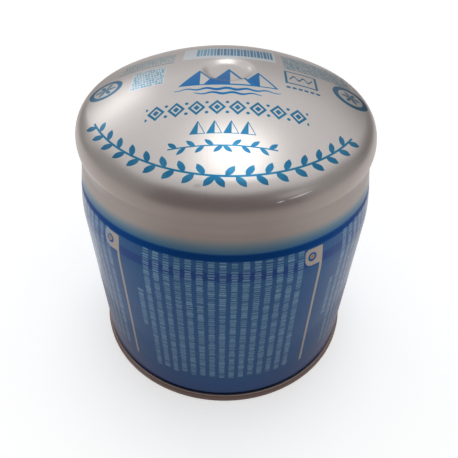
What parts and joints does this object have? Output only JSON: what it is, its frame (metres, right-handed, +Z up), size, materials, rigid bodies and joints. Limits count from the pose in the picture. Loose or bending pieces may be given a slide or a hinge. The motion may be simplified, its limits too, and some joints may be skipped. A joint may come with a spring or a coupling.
{
  "type": "fuel canister",
  "caption": "Sealed gas cartridge of drawn steel with a domed, dimpled top, a necked shoulder and a seamed base, for a small camping stove or lamp.",
  "frame": {"origin": "centre of the circle that the base seam stands on", "axes": "+Z up along the can's own axis; +X to the right and +Y away, seen from the pictured side"},
  "size_m": [0.0918, 0.0918, 0.0946],
  "materials": {
    "painted_steel": "glossy lacquer over printed blue on the wall, with silver on the dome, shoulder and base"
  },
  "bodies": {
    "root": {"canister": "painted_steel"}
  },
  "joints": []
}
